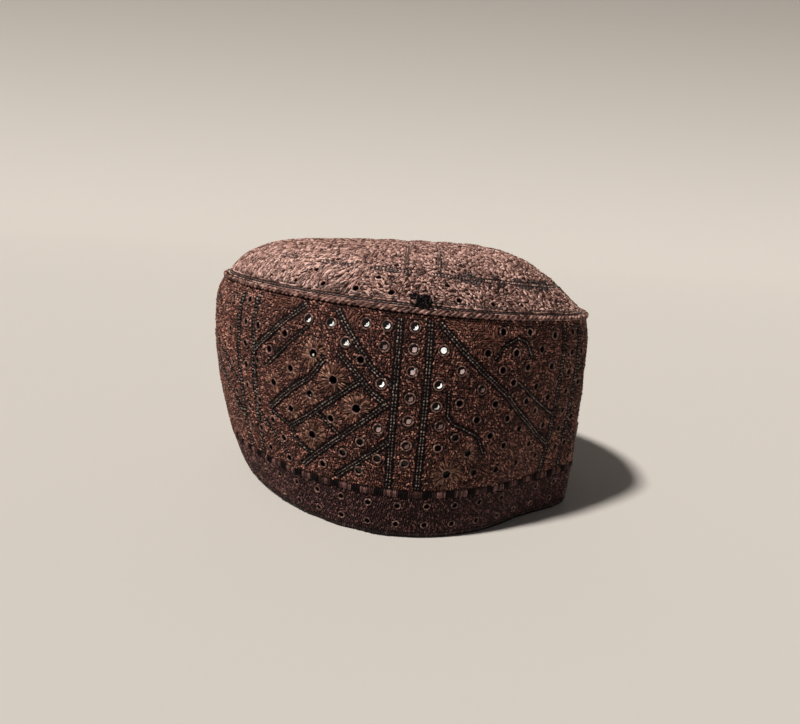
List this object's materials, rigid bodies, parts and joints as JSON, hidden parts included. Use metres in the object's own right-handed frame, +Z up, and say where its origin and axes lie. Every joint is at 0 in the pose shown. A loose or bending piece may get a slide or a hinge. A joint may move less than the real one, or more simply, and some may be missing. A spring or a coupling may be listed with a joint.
{
  "type": "embroidered sindhi cap",
  "caption": "Round sindhi cap of stiff quilted cloth: tall side wall, domed crown and corded seam, embroidered all over, with pierced eyelets and small round mirrors.",
  "frame": {"origin": "on the surface the cap stands on, under the middle of the whole cap's box", "axes": "+Z up out of the crown, -Y towards the front band of embroidery, +X to the right as the front is seen"},
  "size_m": [0.2038, 0.198, 0.1311],
  "materials": {
    "wall_cloth": "dark brown silk embroidery on quilted cotton",
    "crown_cloth": "pinkish brown silk embroidery on quilted cotton",
    "cord": "twisted brown silk cord",
    "mirror": "small hand-cut mirror discs, slightly dull"
  },
  "bodies": {
    "root": {"side_wall": "wall_cloth", "crown": "crown_cloth", "seam_cord": "cord", "mirror_01": "mirror", "mirror_02": "mirror", "mirror_03": "mirror", "mirror_04": "mirror", "mirror_05": "mirror", "mirror_06": "mirror", "mirror_07": "mirror", "mirror_08": "mirror", "mirror_09": "mirror", "mirror_10": "mirror", "mirror_11": "mirror", "mirror_12": "mirror", "mirror_13": "mirror", "mirror_14": "mirror", "mirror_15": "mirror", "mirror_16": "mirror", "mirror_17": "mirror", "mirror_18": "mirror", "mirror_19": "mirror", "mirror_20": "mirror"}
  },
  "joints": []
}
